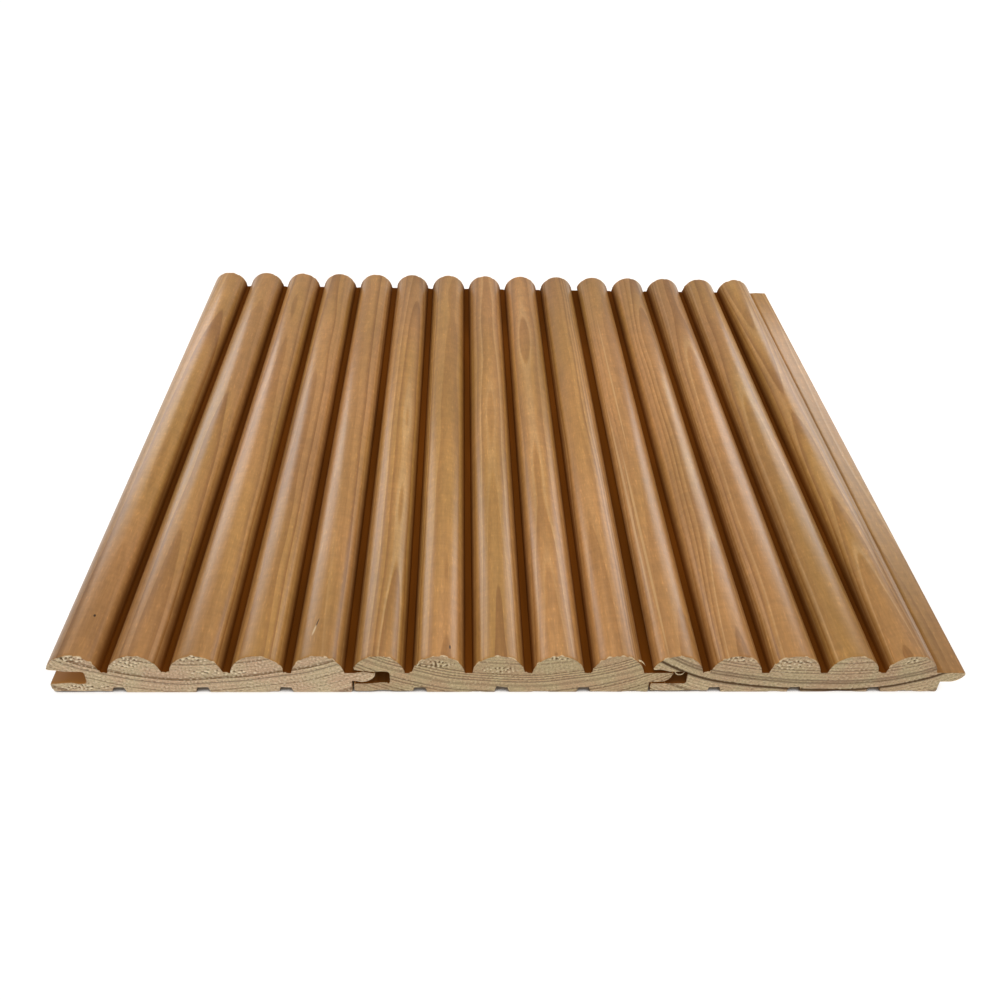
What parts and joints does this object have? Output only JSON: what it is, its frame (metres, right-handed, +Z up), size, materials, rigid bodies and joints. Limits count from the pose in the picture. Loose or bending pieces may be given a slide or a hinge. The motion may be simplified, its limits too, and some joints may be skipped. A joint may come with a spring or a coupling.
{
  "type": "grooved pine panel board",
  "caption": "Pine lining boards with half-round beads on the face, slotted together by tongue and groove into a panel, with relief grooves along the back, for facing a wall.",
  "frame": {"origin": "on the underside, at the middle of the panel's overall width and length", "axes": "+X across the boards from the groove edge to the tongue edge, +Y along the grain, +Z up from the underside to the bead crests"},
  "size_m": [0.3444, 0.33, 0.019],
  "materials": {
    "stained_pine": "satin brown stain over flat-sawn grain, with raw pale cut ends"
  },
  "bodies": {
    "root": {"board_left": "stained_pine", "board_middle": "stained_pine", "board_right": "stained_pine"}
  },
  "joints": []
}
